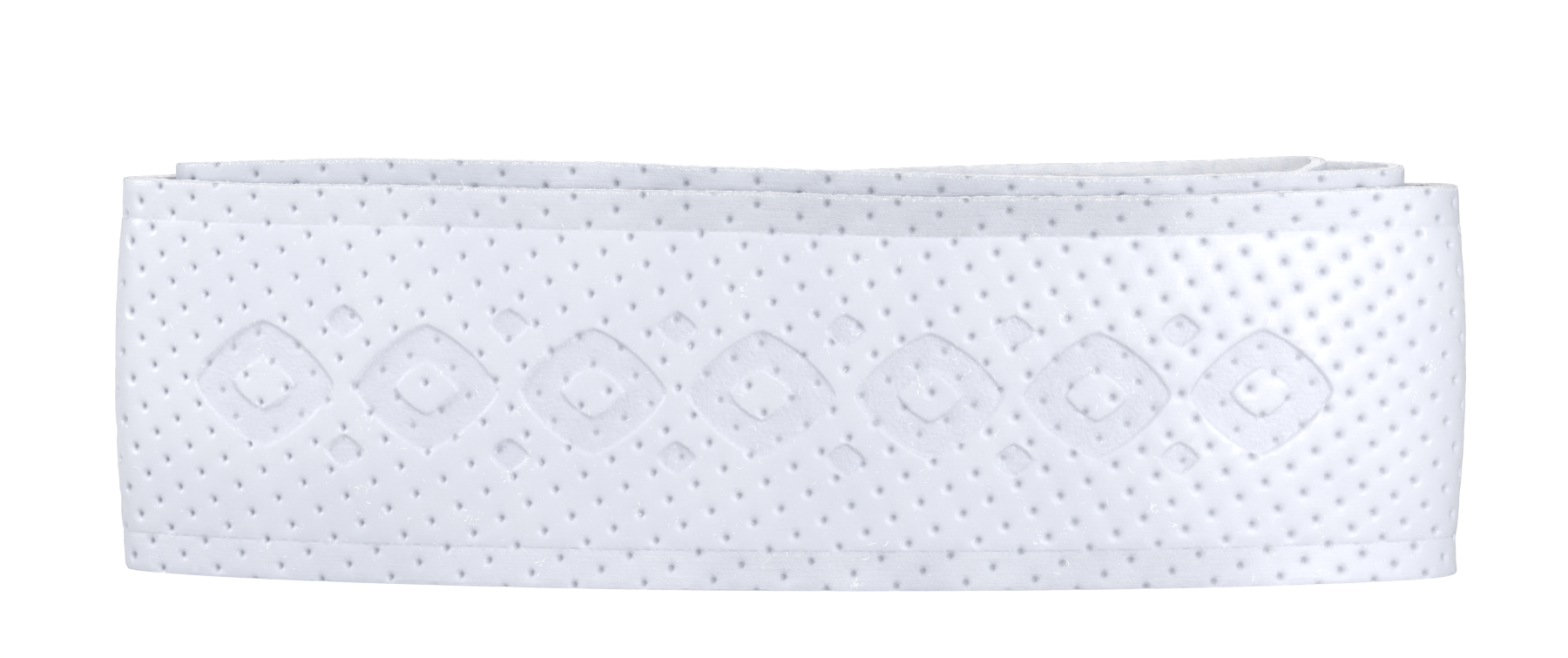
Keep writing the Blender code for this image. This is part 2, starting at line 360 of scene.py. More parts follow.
def lozenges():
    # (s, z, half length, half height, sign) of every lozenge; sign -1 is an island left standing
    made = []
    shift = lengthAt(0.0, 1) - lengthAt(ornament["middleX"], 1)
    for middle in (frontMiddle - shift, backMiddle + shift):
        for n in range(ornament["count"]):
            s = middle + (n - (ornament["count"] - 1) / 2) * ornament["spacing"]
            made.append((s, ornament["middleZ"], *ornament["half"], 1))
            made.append((s, ornament["middleZ"], *ornament["islandHalf"], -1))
            if n:
                for side in (-1, 1):
                    z = ornament["middleZ"] + side * ornament["smallRise"]
                    made.append((s - ornament["spacing"] / 2, z, *ornament["smallHalf"], 1))
    return made


lozengeList = lozenges()


def lozengeOutline(s, z, halfS, halfZ, grow, step):
    power = 2 / ornament["roundness"]
    halfS, halfZ = halfS + grow, halfZ + grow
    count = max(12, round(4 * math.hypot(halfS, halfZ) / step))
    turn = np.linspace(0, 2 * math.pi, 8 * count, endpoint=False)
    a = s + halfS * np.sign(np.cos(turn)) * np.abs(np.cos(turn)) ** power
    b = z + halfZ * np.sign(np.sin(turn)) * np.abs(np.sin(turn)) ** power
    a, b = np.append(a, a[0]), np.append(b, b[0])
    length = np.concatenate([[0.0], np.cumsum(np.hypot(np.diff(a), np.diff(b)))])
    even = np.linspace(0, length[-1], count, endpoint=False)
    return np.stack([np.interp(even, length, a), np.interp(even, length, b)], 1)


def sunkenShare(s, z):
    share = np.zeros(np.shape(s))
    for ls, lz, halfS, halfZ, sign in lozengeList:
        reach = ornament["reach"]
        near = (np.abs(s - ls) < halfS + reach) & (np.abs(z - lz) < halfZ + reach)
        a, b = np.abs(s[near] - ls) / halfS, np.abs(z[near] - lz) / halfZ
        power = ornament["roundness"]
        norm = (a**power + b**power) ** (1 / power)
        away = (norm - 1) * halfS * halfZ / math.hypot(halfS, halfZ)
        inside = 1 - smoothStep(-ornament["wall"], ornament["wall"], away)
        share[near] = np.maximum(share[near], inside) if sign > 0 else share[near] * (1 - inside)
    return share


bands = {  # the thinned borders of the strip
    "width": 3.0 * mm,
    "drop": 0.05 * mm,
    "slope": 0.07 * mm,
    "groove": 0.06 * mm,
    "grooveHalf": 0.09 * mm,
    "roll": 0.09 * mm,
    "rollReach": 0.22 * mm,
}
relief = {"swell": 0.020 * mm, "ripple": 0.012 * mm, "sunkGrain": 0.016 * mm}
# how painted shade is spread: its share on the upper border and over the whole face, and the heights over
# which the painted shade of the lower half fades out upwards
shadePainting = {"border": 0.4, "face": 0.4, "lowHeights": (1 * mm, 15 * mm)}


def skinHeight(s, z):
    # height of the skin over its nominal outer face, with the masks that the material reads
    top = upperEdge(s)
    fromEdge = np.minimum(z, top - z)
    fromBorder = np.minimum(z, np.where(s < tailEnd + strip["taperLength"], strip["width"] - z, top - z))
    offset = pitOffset(s, z)
    away = np.hypot(offset[:, 0], offset[:, 1])
    sunk = sunkenShare(s, z)
    band = 1 - smoothStep(-bands["slope"], bands["slope"], fromBorder - bands["width"])
    height = -bands["drop"] * band
    height -= bands["groove"] * np.exp(-(((fromBorder - bands["width"]) / bands["grooveHalf"]) ** 2))
    height -= bands["roll"] * (1 - smoothStep(0, bands["rollReach"], fromEdge))
    height -= ornament["depth"] * sunk
    bowl = np.hypot(offset[:, 0], offset[:, 1] - pits["bowlRise"]) / pits["bowlRadius"]
    height -= pits["bowlDepth"] * np.exp(-(bowl**2))
    pin = np.clip(1 - away / pits["pinRadius"], 0, 1) ** pits["pinPower"]
    height -= np.minimum(pits["pinDepth"], pits["deepest"] + height) * pin
    # three uneven waves, with their rates for each metre
    height += relief["swell"] * (np.sin(s * 830 + 1.7 * np.sin(z * 520)) * np.sin(z * 610 + s * 190))
    height += relief["ripple"] * np.sin(s * 2100 + z * 900) * np.sin(z * 2600 - s * 700)
    rough = np.sin(s * 9100 + 3 * np.sin(z * 7300)) * np.sin(z * 8700 + 2 * np.sin(s * 6100))
    height += relief["sunkGrain"] * rough * sunk
    # painted shade in and round each pit hole
    pit = 1 - smoothStep(*pits["pitShadeRadius"], away)
    keys = ("paintedShadeMask", "lowPaintedShadeMask", "wrinkled")
    paintedShadeMask, lowPaintedShadeMask, wrinkled = (np.interp(s, path["s"], path[key]) for key in keys)
    # painted shade: darker on the upper border, over the face and towards the bottom, by place along the
    # strip
    upper = band * (z > strip["width"] / 2) * paintedShadeMask
    low = 1 - smoothStep(*shadePainting["lowHeights"], z)
    paintedShadeMask = shadePainting["border"] * upper + shadePainting["face"] * paintedShadeMask * paintedShadeMask + lowPaintedShadeMask * low
    return height, {"pit": pit, "sunk": sunk, "band": band, "paintedShadeMask": paintedShadeMask, "wrinkled": wrinkled * band}


meshing = {
    "edgeStep": 0.35 * mm,
    "lineStep": 0.5 * mm,
    "rowRatio": 1.25,  # of the loose points' rows to their columns
    "ringTwist": 5000,  # so that rings of one pit don't line up
    "grooveLines": (-0.16 * mm, -0.06 * mm, 0.0, 0.06 * mm, 0.16 * mm),  # beside a border's groove
    "rimLines": (0.08 * mm, 0.2 * mm),  # inside the cut edges
    "outlines": (-0.22 * mm, -0.12 * mm, 0.0, 0.12 * mm, 0.22 * mm),  # round a pressed outline
    "outlineStep": 0.32 * mm,
    "sunkStep": 0.42 * mm,
    "clearOfRings": 0.12 * mm,
    "clearOfPits": 0.36 * mm,
    "margin": 0.06 * mm,
    "cell": 0.055 * mm,  # holds one vertex at most
    "scale": 1 / mm,  # the triangulation works in millimetres
    "tolerance": 1e-5,
    "backShares": np.array([0.05, 0.1, 0.3, 0.5, 0.7, 0.9, 0.95]),  # rows of the skin's back
}
# radius and number of the vertices round each pit
fineRings = [(0.13 * mm, 7), (0.22 * mm, 9), (0.31 * mm, 10), (0.47 * mm, 11), (0.74 * mm, 12)]
plainRings = [(0.15 * mm, 6), (0.28 * mm, 8), (0.5 * mm, 9)]


def spaced(low, high, step):
    return np.linspace(low, high, max(2, round((high - low) / step) + 1))


def steppedLengths(sFrom, sTo, step):
    # evenly along the strip, with one step moved onto the corner where the taper begins
    lengths = spaced(sFrom, sTo, step)
    corner = tailEnd + strip["taperLength"]
    if sFrom < corner < sTo:
        lengths[np.argmin(np.abs(lengths - corner))] = corner
    return lengths


def skinPoints(sFrom, sTo, zFrom, rings, spacing):
    # places on the flat strip where the skin gets a vertex, and the border that encloses them
    edgeStep = meshing["edgeStep"]
    lengths = steppedLengths(sFrom, sTo, edgeStep)
    rightRows = spaced(0, upperEdge(sTo), edgeStep)[1:-1]
    leftRows = spaced(0, upperEdge(sFrom), edgeStep)[1:-1]
    border = np.concatenate([
        np.stack([lengths, 0 * lengths], 1),
        np.stack([0 * rightRows + sTo, rightRows], 1),
        np.stack([lengths, upperEdge(lengths)], 1)[::-1],
        np.stack([0 * leftRows + sFrom, leftRows[::-1]], 1),
    ])
    centres = pitCentres(sFrom - mm, sTo + mm, zFrom, strip["width"] + mm)
    placed = [centres]
    for radius, count in rings:
        turn = np.linspace(0, 2 * math.pi, count, endpoint=False) + radius * meshing["ringTwist"]
        circle = radius * np.stack([np.cos(turn), np.sin(turn)], 1)
        placed.append((centres[:, None, :] + circle[None]).reshape(-1, 2))
    loose = []
    rows = spaced(0, strip["width"], meshing["rowRatio"] * spacing)
    s, z = np.meshgrid(spaced(sFrom, sTo, spacing), rows)
    s = s + np.where(np.arange(len(s)) % 2, spacing / 2, 0)[:, None]
    loose.append(np.stack([s.ravel(), z.ravel()], 1))
    contours = []
    line = spaced(sFrom, sTo, meshing["lineStep"])
    for off in meshing["grooveLines"]:
        for z in (bands["width"] + off, strip["width"] - bands["width"] - off):
            contours.append(np.stack([line, 0 * line + z], 1))
    for off in meshing["rimLines"]:
        for z in (0 * lengths + off, upperEdge(lengths) - off):
            contours.append(np.stack([lengths, z], 1))
    if zFrom <= 0:
        for ls, lz, halfS, halfZ, sign in lozengeList:
            for grow in meshing["outlines"]:
                contours.append(lozengeOutline(ls, lz, halfS, halfZ, grow, meshing["outlineStep"]))
            if sign > 0:
                step = meshing["sunkStep"]
                s, z = np.meshgrid(np.arange(-halfS, halfS, step), np.arange(-halfZ, halfZ, step))
                inside = (np.abs(s) / halfS + np.abs(z) / halfZ) < 1
                loose.append(np.stack([ls + s[inside], lz + z[inside]], 1))
    loose = np.concatenate(loose)
    clear = rings[-1][0] + meshing["clearOfRings"]
    loose = loose[pitDistance(loose[:, 0], loose[:, 1]) > clear]
    contours = np.concatenate(contours)
    contours = contours[pitDistance(contours[:, 0], contours[:, 1]) > meshing["clearOfPits"]]
    inner = np.concatenate([*placed, loose, contours])
    margin = meshing["margin"]
    kept = (inner[:, 0] > sFrom + margin) & (inner[:, 0] < sTo - margin)
    kept &= (inner[:, 1] > margin) & (inner[:, 1] < upperEdge(inner[:, 0]) - margin)
    inner = inner[kept]
    cells = np.round(inner / meshing["cell"]).astype(int)
    _, first = np.unique(cells, axis=0, return_index=True)
    return inner[np.sort(first)], border, lengths


layout = {
    "unit": 10 * mm,  # of the strip's own layout
    "margin": 1.2 * mm,
    "hidden": (0.02, 0.04),  # start and height of the row for all that lies inside
    "shown": (0.08, 0.92),
}


def tapeLayout(mesh, flat):
    # the strip's own layout, which the grain follows
    loopVertex = np.empty(len(mesh.loops), int)
    mesh.loops.foreach_get("vertex_index", loopVertex)
    tape = mesh.uv_layers.new(name="tape")
    tape.uv.foreach_set("vector", (flat[loopVertex] / layout["unit"]).astype(np.float32).ravel())
    return loopVertex


def bakeLayout(mesh, flat, loopVertex, kinds, sFrom, sTo):
    # rows that fill a square
    total = np.empty(len(mesh.polygons), int)
    mesh.polygons.foreach_get("loop_total", total)
    owner = np.repeat(np.arange(len(total)), total)
    s, z = flat[loopVertex, 0], flat[loopVertex, 1]
    rows = max(1, round(math.sqrt((sTo - sFrom) / strip["width"])))
    rowLength = (sTo - sFrom) / rows
    middle = np.bincount(owner, s) / total
    row = np.clip((middle - sFrom) // rowLength, 0, rows - 1)[owner]
    margin = layout["margin"]
    u = (s - sFrom - row * rowLength + margin) / (rowLength + 2 * margin)
    v = (z + margin) / (strip["width"] + 2 * margin)
    hidden, shown = layout["hidden"], layout["shown"]
    v = np.where(kinds[owner] > 0, hidden[0] + hidden[1] * v, shown[0] + shown[1] * (row + v) / rows)
    bake = mesh.uv_layers.new(name="OFBake")
    bake.uv.foreach_set("vector", np.stack([u, v], 1).astype(np.float32).ravel())


def linkedObject(name, data):
    made = bpy.data.objects.new(name, data)
    bpy.context.scene.collection.objects.link(made)
    return made


def finishedObject(name, points, faces, flat, kinds, sFrom, sTo, material, sharp=()):
    mesh = bpy.data.meshes.new(name)
    mesh.from_pydata(points.tolist(), [], faces)
    mesh.update()
    bakeLayout(mesh, flat, tapeLayout(mesh, flat), kinds, sFrom, sTo)
    mesh.shade_smooth()
    if len(sharp):
        ends = np.empty(2 * len(mesh.edges), int)
        mesh.edges.foreach_get("vertices", ends)
        keys = np.sort(ends.reshape(-1, 2), axis=1)
        wanted = set(map(tuple, np.sort(np.array(sharp), axis=1).tolist()))
        marks = np.array([tuple(key) in wanted for key in keys.tolist()])
        attribute = mesh.attributes.new("sharp_edge", "BOOLEAN", "EDGE")
        attribute.data.foreach_set("value", marks)
    mesh.materials.append(material)
    return linkedObject(name, mesh)


def skinPiece(name, sFrom, sTo, material, zFrom=-1 * mm, rings=fineRings, spacing=0.8 * mm):
    inner, border, lengths = skinPoints(sFrom, sTo, zFrom, rings, spacing)
    flat = np.concatenate([border, inner])
    loop = [list(range(len(border)))]
    given = [Vector(place) for place in (flat * meshing["scale"]).tolist()]
    placed, _, triangles, *_ = delaunay_2d_cdt(given, [], loop, 1, meshing["tolerance"])
    flat = np.array([tuple(p) for p in placed]) / meshing["scale"]
    triangles = [list(t) for t in triangles]
    count = len(border)
    height, masks = skinHeight(flat[:, 0], flat[:, 1])
    n = len(lengths)
    lower = np.arange(n)
    upperStart = n + len(spaced(0, upperEdge(sTo), meshing["edgeStep"])[1:-1])
    upper = upperStart + np.arange(n)[::-1]
    ring = np.arange(count)
    after = np.roll(ring, -1)
    # the wall round the border, then the skin's own back as a coarse grid
    shares = meshing["backShares"]
    between = np.repeat(lengths[1:-1], len(shares))
    heights = np.outer(upperEdge(lengths[1:-1]), shares).ravel()
    under = np.concatenate([border, np.stack([between, heights], 1)])
    first = len(flat)
    walls = [[int(a), int(first + a), int(first + b), int(b)] for a, b in zip(ring, after)]
    columns = []
    for k in range(1, n - 1):
        inside = range(first + count + len(shares) * (k - 1), first + count + len(shares) * k)
        columns.append([int(first + lower[k]), *inside, int(first + upper[k])])
    backs = [
        [left[m], left[m + 1], right[m + 1], right[m]]
        for left, right in zip(columns, columns[1:])
        for m in range(len(left) - 1)
    ]
    leftSide = [int(first + v) for v in [*range(int(upper[0]), count), 0]]
    rightSide = [int(first + v) for v in range(int(lower[-1]), int(upper[-1]) + 1)]
    backs.append([*leftSide, *columns[0]])
    backs.append([*rightSide, *columns[-1][::-1]])
    points = np.concatenate([
        wound(flat[:, 0], flat[:, 1], skinDepth - height),
        wound(under[:, 0], under[:, 1], skinDepth + strip["skin"]),
    ])
    faces = triangles + walls + backs
    kinds = np.array([0] * len(triangles) + [1] * len(walls) + [2] * len(backs))
    sharp = [(start + a, start + b) for start in (0, first) for a, b in zip(ring, after)]
    flat = np.concatenate([flat, under])
    made = finishedObject(name, points, faces, flat, kinds, sFrom, sTo, material, sharp)
    for key, values in masks.items():
        attribute = made.data.attributes.new(key, "FLOAT", "POINT")
        attribute.data.foreach_set("value", np.concatenate([values, 0 * under[:, 0]]).astype(np.float32))
    print(name, len(faces), "faces")
    return made


feltDetail = {
    "step": 0.4 * mm,
    "rows": 16,
    "fuzz": 0.05 * mm,
    "fuzzDeep": 0.8,  # factor of the fuzz across the layer
    "swell": 0.8 * mm,  # towards the inside of the two outer folds, near the top
    "swellHeights": (0.6, 0.97),  # as shares of the strip's width
    "swellReach": 7 * mm,
    "swellNoise": 0.25,
    "over": 0.01 * mm,  # above the skin's cut edge, so that its fibres show
    "seed": 11,
}
plainDetail = {"step": 0.6 * mm, "rows": 2, "fuzz": 0.0, "fuzzDeep": 0.0, "swell": 0.0}
sharpAngle = math.radians(50)


def ribbonPiece(name, sFrom, sTo, low, high, depth, thickness, material, detail, seed=1):
    # a closed strip of one layer; its back, which faces inwards, is the side that may show
    lengths = steppedLengths(sFrom, sTo, detail["step"])
    rows, fuzz = detail["rows"], detail["fuzz"]
    crowd = np.linspace(0, 1, rows)
    crowd = 0.5 - 0.5 * np.cos(math.pi * crowd) if rows > 2 else crowd
    n, m = len(lengths), rows
    share = np.concatenate([crowd, crowd[::-1]])
    behind = np.concatenate([np.ones(m), np.zeros(m)])
    s = np.repeat(lengths, 2 * m)
    z = np.tile(share, n) * (high(s) - low(s)) + low(s)
    back = np.tile(behind, n)
    draw = np.random.default_rng(seed)
    noise = draw.uniform(-1, 1, (3, len(s)))
    deep = depth + thickness * back
    edge = np.tile(np.minimum(share, 1 - share) <= 0, n)
    deep = deep - fuzz * noise[0] * back * detail["fuzzDeep"]
    if detail["swell"]:
        highShare = smoothStep(*detail["swellHeights"], np.tile(share, n))
        reach = sum(np.exp(-(((s - place) / detail["swellReach"]) ** 2)) for place in path["folds"][:2])
        uneven = 1 + detail["swellNoise"] * noise[2]
        deep = deep + detail["swell"] * reach * highShare * back * uneven
    z = z + fuzz * noise[1] * edge
    points = wound(s, z, deep)
    faces = []
    for k in range(n - 1):
        a, b = k * 2 * m, (k + 1) * 2 * m
        faces += [[a + i, a + (i + 1) % (2 * m), b + (i + 1) % (2 * m), b + i] for i in range(2 * m)]
    kinds = [2 if (k % (2 * m)) >= m else 0 for k in range(len(faces))]
    faces.append(list(range(2 * m))[::-1])
    faces.append([(n - 1) * 2 * m + i for i in range(2 * m)])
    kinds += [2, 2]
    flat = np.stack([s, z], 1)
    made = finishedObject(name, points, faces, flat, np.array(kinds), sFrom, sTo, material)
    made.data.set_sharp_from_angle(angle=sharpAngle)
    print(name, len(faces), "faces")
    return made


class Wire:  # a socket of a material, so that masks can be written as sums and products
    def __init__(self, finish, socket):
        self.finish = finish
        self.socket = socket

    def joined(self, operation, first, second):
        return self.finish.node("ShaderNodeMath", {"operation": operation}, {0: first, 1: second})

    def __add__(self, other):
        return self.joined("ADD", self, other)

    def __radd__(self, other):
        return self.joined("ADD", other, self)

    def __sub__(self, other):
        return self.joined("SUBTRACT", self, other)

    def __rsub__(self, other):
        return self.joined("SUBTRACT", other, self)

    def __mul__(self, other):
        return self.joined("MULTIPLY", self, other)

    def __rmul__(self, other):
        return self.joined("MULTIPLY", other, self)


class Finish:  # a material, or the world, and the nodes that make it
    def __init__(self, name, owners=bpy.data.materials, shader="Principled BSDF"):
        self.owner = owners.new(name)
        self.owner.use_nodes = True
        self.nodes = self.owner.node_tree.nodes
        self.links = self.owner.node_tree.links
        self.shader = self.nodes[shader]

    def node(self, kind, settings=None, inputs=None, output=0):
        made = self.nodes.new(kind)
        for key, value in (settings or {}).items():
            setattr(made, key, value)
        for key, value in (inputs or {}).items():
            self.feed(made.inputs[key], value)
        return Wire(self, made.outputs[output])

    def feed(self, socket, value):
        if isinstance(value, Wire):
            self.links.new(value.socket, socket)
        else:
            socket.default_value = value

    def set(self, **values):
        for key, value in values.items():
            self.feed(self.shader.inputs[key.replace("_", " ")], value)

    def colours(self, share, first, second, blend="MIX"):
        first, second = (c if isinstance(c, Wire) else (*c, 1) for c in (first, second))
        settings = {"data_type": "RGBA", "blend_type": blend}
        return self.node("ShaderNodeMix", settings, {0: share, 6: first, 7: second}, 2)

    def tape(self, along, up, turn=0.0):
        # the strip's own layout, stretched and turned
        place = self.node("ShaderNodeUVMap", {"uv_map": "tape"})
        scaled = {"Vector": place, "Scale": (along, up, 1), "Rotation": (0, 0, turn)}
        return self.node("ShaderNodeMapping", {}, scaled)

    def noise(self, place, scale, detail=3.0, roughness=0.55):
        inputs = {"Vector": place, "Scale": scale, "Detail": detail, "Roughness": roughness}
        return self.node("ShaderNodeTexNoise", {"noise_dimensions": "2D"}, inputs)

    def folded(self, place, scale, detail):
        # noise with narrow creases where it turns over
        centred = self.noise(place, scale, detail, 0.6) - 0.5
        return self.node("ShaderNodeMath", {"operation": "ABSOLUTE"}, {0: centred})

    def ranged(self, value, low, high, toLow=0.0, toHigh=1.0):
        inputs = {0: value, 1: low, 2: high, 3: toLow, 4: toHigh}
        return self.node("ShaderNodeMapRange", {}, inputs)

    def mask(self, name):
        return self.node("ShaderNodeAttribute", {"attribute_name": name}, {}, "Fac")

    def bump(self, height, distance, strength=1.0):
        inputs = {"Height": height, "Distance": distance, "Strength": strength}
        return self.node("ShaderNodeBump", {}, inputs)


skinLook = {  # sunk, pit and border give the share of a tone or a height; the darker tone of the pits and of the sunken lozenges, and the darker tone by place, are painted shade
    "pale": (0.795, 0.812, 0.885),
    "shaded": (0.735, 0.755, 0.845),
    # painted shade of the pit holes
    "pitShadeTone": (0.50, 0.52, 0.58),
    "roughness": 0.34,
    "bandRoughness": 0.50,
    # painted shade, multiplied in by place
    "paintedShadeTone": (0.87, 0.88, 0.885),
    "cloudShare": 0.45,
    # share of the shaded tone in the sunken lozenges: painted shade
    "sunkShadeShare": 0.45,
    "pitShadeShare": 0.78,
    "pitShadeShareOnBorder": 0.1,  # more, painted shade of the pits on the borders
    "sunkRoughness": 0.08,  # more
    "sunkPebbles": 1.3,
    "bump": 0.06 * mm,
    "bumpStrength": 0.9,
}


def skinFinish():
    finish = Finish("perforatedSkin")
    pit, sunk, band = finish.mask("pit"), finish.mask("sunk"), finish.mask("band")
    cloudy = finish.noise(finish.tape(1, 1), 1.1, 4)
    fine = finish.noise(finish.tape(1, 1), 38, 4, 0.6)
    wrinkles = finish.folded(finish.tape(1, 1.8, 0.35), 34, 4)
    wrinkles += finish.folded(finish.tape(1, 2.6, -0.2), 17, 4)
    streaks = finish.noise(finish.tape(0.6, 22), 2.0, 3, 0.5)
    pebbles = finish.noise(finish.tape(1, 1), 30, 4, 0.55)
    # random clouds of a darker tone, and painted shade in the sunken lozenges
    shade = finish.ranged(cloudy, 0.35, 0.65) * skinLook["cloudShare"] + sunk * skinLook["sunkShadeShare"]
    colour = finish.colours(shade, skinLook["pale"], skinLook["shaded"])
    # painted shade in the pits, a little more on the borders
    pitShadeShare = pit * (band * skinLook["pitShadeShareOnBorder"] + skinLook["pitShadeShare"])
    colour = finish.colours(pitShadeShare, colour, skinLook["pitShadeTone"])
    # painted shade, darker by place
    colour = finish.colours(finish.mask("paintedShadeMask"), colour, skinLook["paintedShadeTone"], "MULTIPLY")
    leather = (wrinkles * 2.0 + streaks * 0.8) * finish.mask("wrinkled")
    leather *= finish.ranged(cloudy, 0.3, 0.6, 0.55, 1.0)
    height = fine * 0.22 + streaks * 0.12 + leather + pebbles * sunk * skinLook["sunkPebbles"]
    matt = finish.mask("wrinkled") * (skinLook["bandRoughness"] - skinLook["roughness"])
    rough = finish.ranged(cloudy, 0.3, 0.7, -0.02, 0.03) + skinLook["roughness"] + matt
    rough += sunk * skinLook["sunkRoughness"]
    bump = finish.bump(height, skinLook["bump"], skinLook["bumpStrength"])
    finish.set(Base_Color=colour, Roughness=rough, Normal=bump)
    return finish.owner


feltLook = {
    "pale": (0.97, 0.975, 1.0),
    "shaded": (0.84, 0.855, 0.905),
    "glow": 0.10,  # painted light: a faint glow that stands in for light passed on among the loose fibres
    "paintedGlowColour": (0.9, 0.93, 1),
    "roughness": 0.95,
    "specular": 0.15,
    "sheen": 0.6,
    "bump": 0.25 * mm,
}


def feltFinish():
    finish = Finish("feltBacking")
    clumps = finish.noise(finish.tape(1, 1), 9, 5, 0.7)
    threads = finish.noise(finish.tape(14, 40, 0.6), 2, 4, 0.7)
    tone = finish.colours(finish.ranged(clumps, 0.35, 0.65), feltLook["shaded"], feltLook["pale"])
    height = clumps * 0.7 + threads * 0.5
    bump = finish.bump(height, feltLook["bump"])
    finish.set(Base_Color=tone, Roughness=feltLook["roughness"], Normal=bump)
    finish.set(Specular_IOR_Level=feltLook["specular"], Sheen_Weight=feltLook["sheen"])
    # painted light: the felt glows a little
    finish.set(Emission_Color=(*feltLook["paintedGlowColour"], 1), Emission_Strength=feltLook["glow"])
    return finish.owner


adhesiveLook = {
    "stretch": (1, 3),
    "noise": (6, 4),  # scale and detail
    "tones": ((0.70, 0.68, 0.60), (0.80, 0.79, 0.72)),
    "roughness": (0.22, 0.4),
    "bump": (0.03 * mm, 0.6),
}
linerLook = {
    "stretch": (8, 20),
    "noise": (3, 5, 0.7),
    "tones": ((0.80, 0.78, 0.70), (0.87, 0.86, 0.79)),
    "roughness": (0.48, 0.6),
    "bump": (0.03 * mm, 0.5),
}


def filmFinish(name, look):
    finish = Finish(name)
    smears = finish.noise(finish.tape(*look["stretch"]), *look["noise"])
    tone = finish.colours(finish.ranged(smears, 0.3, 0.7), *look["tones"])
    rough = finish.ranged(smears, 0.3, 0.7, *look["roughness"])
    finish.set(Base_Color=tone, Roughness=rough, Normal=finish.bump(smears, *look["bump"]))
    return finish.owner


def lintFinish():
    finish = Finish("whiteLint")
    tone = finish.noise(finish.tape(1, 1), 5)
    colour = finish.colours(tone, (1.0, 1.0, 1.0), (0.95, 0.96, 1.0))
    finish.set(Base_Color=colour, Roughness=0.5, Sheen_Weight=0.4)
    return finish.owner


skinMaterial = skinFinish()
feltMaterial = feltFinish()
adhesiveMaterial = filmFinish("adhesiveFilm", adhesiveLook)
linerMaterial = filmFinish("linerPaper", linerLook)
lintMaterial = lintFinish()
print("materials made")

# where the strip is divided: at the two bends of the tail, and out of sight behind the left fold
cuts = {"tipToBase": 2 * mm, "baseToRoll": 30 * mm, "outerToSecond": -44 * mm, "secondToInner": -20 * mm}
tipToBase = lengthAt(cuts["tipToBase"], 0)
baseToRoll = lengthAt(cuts["baseToRoll"], 0)
outerToSecond = lengthAt(cuts["outerToSecond"], 2)
secondToInner = lengthAt(cuts["secondToInner"], 4)
parts = {"tip": (tailEnd, tipToBase), "base": (tipToBase, baseToRoll)}


def placeOnBodies(piece, part):
    if part == "tip":
        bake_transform(piece)
    elif part == "base":
        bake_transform(piece)
    else:
        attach(piece, "roll")


def declareSheet(sFrom, sTo, width, flatArea=None):
    sTo - sFrom


def skinLayer():
    wanted = [
        ("tip_skin", *parts["tip"], "tip", "tail_tip_skin", {}),
        ("base_skin", *parts["base"], "base", "tail_base_skin", {}),
        ("outer_wrap_skin", baseToRoll, outerToSecond, "roll", "grip_skin", {}),
        ("second_wrap_skin", outerToSecond, secondToInner, "roll", "grip_skin", {}),
        ("inner_wraps_skin", secondToInner, innerEnd, "roll", "grip_skin",
         {"zFrom": 19 * mm, "rings": plainRings, "spacing": 1.3 * mm}),
    ]
    for name, sFrom, sTo, part, node, detail in wanted:
        piece = skinPiece(name, sFrom, sTo, skinMaterial, **detail)
        placeOnBodies(piece, part)
        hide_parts(node)
        lengths = spaced(sFrom, sTo, mm)
        heights = upperEdge(lengths)
        area = float(np.sum((heights[1:] + heights[:-1]) / 2 * np.diff(lengths)))
        declareSheet(sFrom, sTo, strip["width"], area if part == "tip" else None)


def feltLayer():
    wanted = [
        ("tip_felt", *parts["tip"], "tip", "tail_tip_felt"),
        ("base_felt", *parts["base"], "base", "tail_base_felt"),
        ("rolled_felt", baseToRoll, innerEnd, "roll", "felt_backing"),
    ]
    setback = strip["feltSetback"]
    for n, (name, sFrom, sTo, part, node) in enumerate(wanted):
        piece = ribbonPiece(
            name, sFrom, sTo, lambda s: 0 * s + setback, lambda s: upperEdge(s) + feltDetail["over"],
            feltDepth, strip["felt"], feltMaterial, feltDetail, feltDetail["seed"] + n,
        )
        placeOnBodies(piece, part)
        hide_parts(node)
        lengths = spaced(sFrom, sTo, mm)
        area = float(np.sum(upperEdge(lengths[1:]) * np.diff(lengths)))
        declareSheet(sFrom, sTo, strip["width"], area if part == "tip" else None)


starterTab = {"fromEnd": 2 * mm, "length": 14 * mm, "heights": (2 * mm, 8 * mm)}
bandGap = 1.5 * mm  # from the place where the taper is as high as the liner
leastSheet = 10 * mm


def bandLayers():
    low = (strip["width"] - strip["adhesiveWidth"]) / 2
    high = low + strip["adhesiveWidth"]
    over = strip["linerOverhang"]
    risen = (high + over - strip["taperEnd"]) / (strip["width"] - strip["taperEnd"])
    bandEnd = tailEnd + strip["taperLength"] * risen + bandGap
    starter = tailEnd + starterTab["fromEnd"]
    base, rolled = (bandEnd, baseToRoll), (baseToRoll, innerEnd)
    tab = (starter, starter + starterTab["length"])
    narrow, wide = (low, high), (low - over, high + over)
    wanted = [
        ("base_adhesive", base, narrow, "adhesive", "base", "tail_base_adhesive"),
        ("base_liner", base, wide, "liner", "base", "tail_base_liner"),
        ("rolled_adhesive", rolled, narrow, "adhesive", "roll", "adhesive_strip"),
        ("rolled_liner", rolled, wide, "liner", "roll", "release_liner"),
        ("starter_adhesive", tab, starterTab["heights"], "adhesive", "tip", "starter_tab"),
        ("starter_paper", tab, starterTab["heights"], "liner", "tip", "starter_liner"),
    ]
    for name, (sFrom, sTo), (zLow, zHigh), layer, part, node in wanted:
        material = adhesiveMaterial if layer == "adhesive" else linerMaterial
        depth = adhesiveDepth if layer == "adhesive" else linerDepth
        piece = ribbonPiece(
            name, sFrom, sTo, lambda s: 0 * s + zLow, lambda s: 0 * s + zHigh,
            depth, strip[layer], material, plainDetail,
        )
        placeOnBodies(piece, part)
        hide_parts(node)
        "adhesive" if layer == "adhesive" else "liner_paper"
        if zHigh - zLow >= leastSheet:
            declareSheet(sFrom, sTo, zHigh - zLow)


